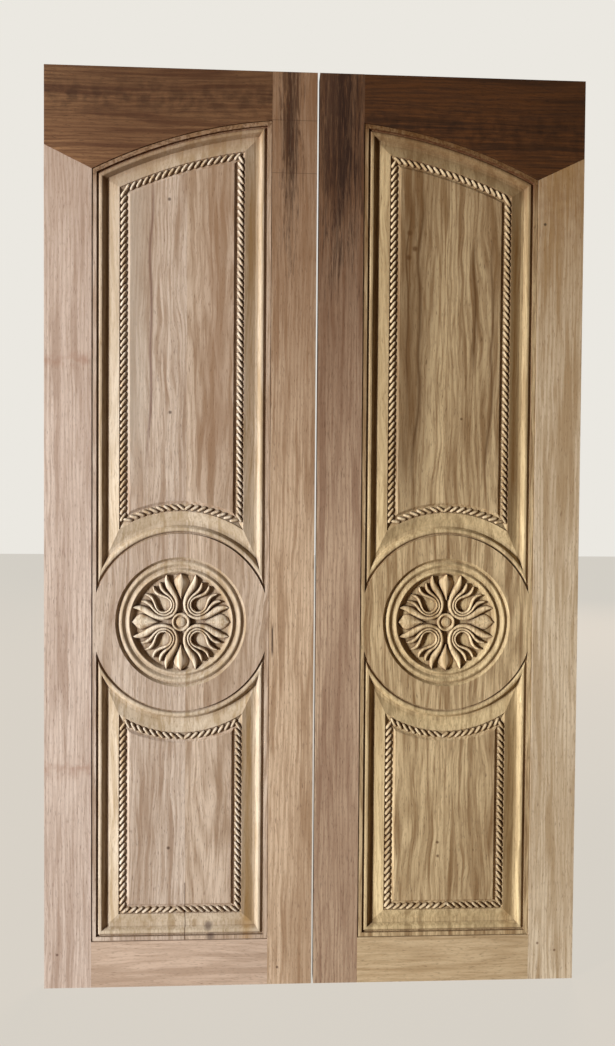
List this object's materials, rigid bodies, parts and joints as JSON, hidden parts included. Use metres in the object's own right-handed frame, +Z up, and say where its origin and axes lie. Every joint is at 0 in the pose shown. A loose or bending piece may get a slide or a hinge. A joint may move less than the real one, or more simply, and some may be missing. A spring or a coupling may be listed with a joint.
{
  "type": "carved temple door",
  "caption": "Pair of tall wooden door leaves, each a frame round an arched panel that is carved with mouldings, a rope bead and a round flower medallion.",
  "frame": {"origin": "on the floor, midway between the two leaves and midway through their thickness", "axes": "+Z up, X across the doorway, the carved faces look towards -Y"},
  "size_m": [1.205, 0.038, 2.05],
  "materials": {
    "teak_stile": "planed bare teak, matt",
    "teak_rail": "planed bare teak, matt",
    "teak_dark_rail": "planed bare teak of a darker board, matt",
    "teak_panel": "carved bare teak, matt"
  },
  "bodies": {
    "root": {"left_hanging_stile": "teak_stile", "left_meeting_stile": "teak_stile", "left_bottom_rail": "teak_rail", "left_top_rail": "teak_dark_rail", "left_outer_board": "teak_panel", "left_inner_board": "teak_panel", "right_hanging_stile": "teak_stile", "right_meeting_stile": "teak_stile", "right_bottom_rail": "teak_rail", "right_top_rail": "teak_dark_rail", "right_outer_board": "teak_panel", "right_inner_board": "teak_panel"}
  },
  "joints": []
}
